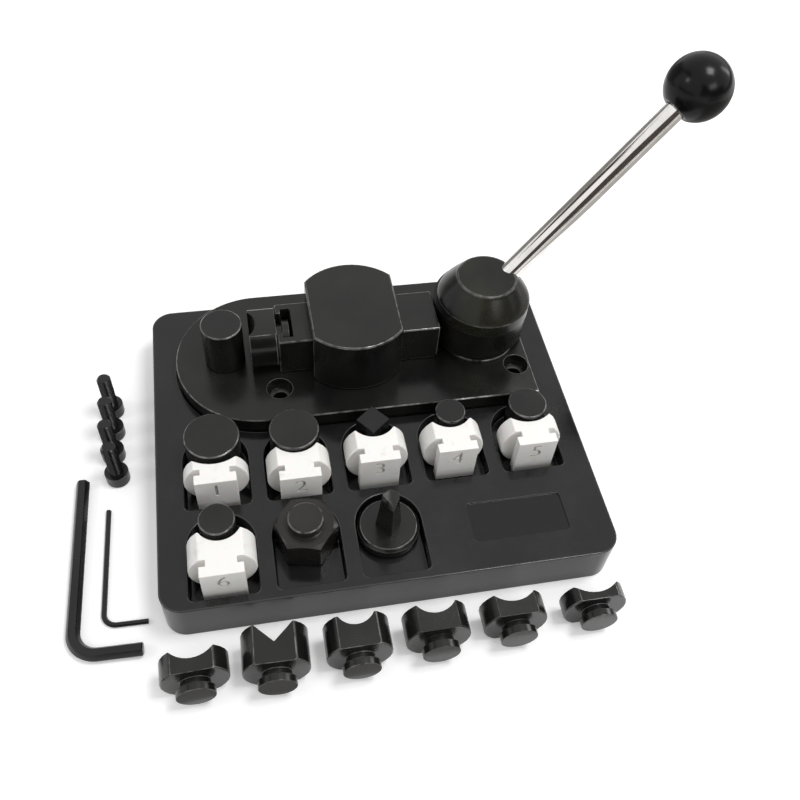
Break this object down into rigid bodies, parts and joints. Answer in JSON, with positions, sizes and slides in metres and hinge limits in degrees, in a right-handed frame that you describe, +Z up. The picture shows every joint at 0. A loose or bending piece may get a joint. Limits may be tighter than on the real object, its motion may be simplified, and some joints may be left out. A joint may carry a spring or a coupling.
{
  "type": "ring bending machine",
  "caption": "Bench-top ring bender: a lever and cam push a ram whose hollow die bends a ring round a post, in a tray with spare dies.",
  "frame": {"origin": "middle of the tray's underside, on the bench", "axes": "+X along the ram from the dies to the handle's hub, +Y away from the user, +Z up"},
  "size_m": [0.2831, 0.1871, 0.1454],
  "materials": {
    "tray_plastic": "moulded charcoal plastic with a slight gloss",
    "black_steel": "machined steel with a black oxide finish",
    "screw_steel": "black oiled alloy steel",
    "bright_steel": "ground bright steel",
    "bronze": "sintered bronze",
    "chrome_plate": "polished chrome plate",
    "black_resin": "polished black phenolic",
    "white_nylon": "machined white nylon"
  },
  "bodies": {
    "bench": {"base_plate": "black_steel", "bench_screw_1": "screw_steel", "bench_screw_2": "screw_steel", "bench_screw_3": "screw_steel", "bench_screw_4": "screw_steel", "die_dowel": "bright_steel", "guide_block": "black_steel", "guide_block_screw_1": "screw_steel", "guide_block_screw_2": "screw_steel", "guide_block_screw_3": "screw_steel", "guide_block_screw_4": "screw_steel", "hex_die": "black_steel", "hex_key_large": "screw_steel", "hex_key_small": "screw_steel", "male_die_1": "black_steel", "male_die_2": "black_steel", "male_die_3": "black_steel", "male_die_4": "black_steel", "male_die_5": "black_steel", "male_die_6": "black_steel", "nylon_die_1": "white_nylon", "nylon_die_2": "white_nylon", "nylon_die_3": "white_nylon", "nylon_die_4": "white_nylon", "nylon_die_5": "white_nylon", "nylon_die_6": "white_nylon", "pivot_bush": "bronze", "spring_pin": "bright_steel", "steel_die_1": "black_steel", "steel_die_2": "black_steel", "steel_die_3": "black_steel", "steel_die_4": "black_steel", "steel_die_5": "black_steel", "steel_die_6": "black_steel", "thrust_washer": "black_steel", "tray": "tray_plastic", "v_blade_die": "black_steel"},
    "handle": {"hub": "black_steel", "pivot_shaft": "bright_steel", "retaining_washer": "bright_steel", "retaining_screw": "screw_steel", "handle_rod": "chrome_plate", "ball_knob": "black_resin", "rod_set_screw": "screw_steel"},
    "ram_body": {"ram": "black_steel", "return_spring": "bright_steel"},
    "female_die": {"fitted_female_die": "black_steel"},
    "male_die": {"fitted_male_die": "black_steel"}
  },
  "joints": [
    {"name": "handle_turn", "type": "hinge", "parent": "bench", "child": "handle", "pos_m": [0.0563, 0.0384, 0.0288], "axis": [0, 0, 1], "range_deg": [-80, 55]},
    {"name": "ram_slide", "type": "slide", "parent": "bench", "child": "ram_body", "axis": [-1, 0, 0], "range_m": [-0.0045, 0.0031], "deforming": ["return_spring"]},
    {"name": "female_die_lift", "type": "slide", "parent": "ram_body", "child": "female_die", "axis": [0, 0, 1], "range_m": [0, 0.025]},
    {"name": "male_die_lift", "type": "slide", "parent": "bench", "child": "male_die", "axis": [0, 0, 1], "range_m": [0, 0.02]}
  ],
  "couplings": [
    {"joint": "ram_slide", "follows": "handle_turn", "m_per_rad": 0.0032}
  ]
}
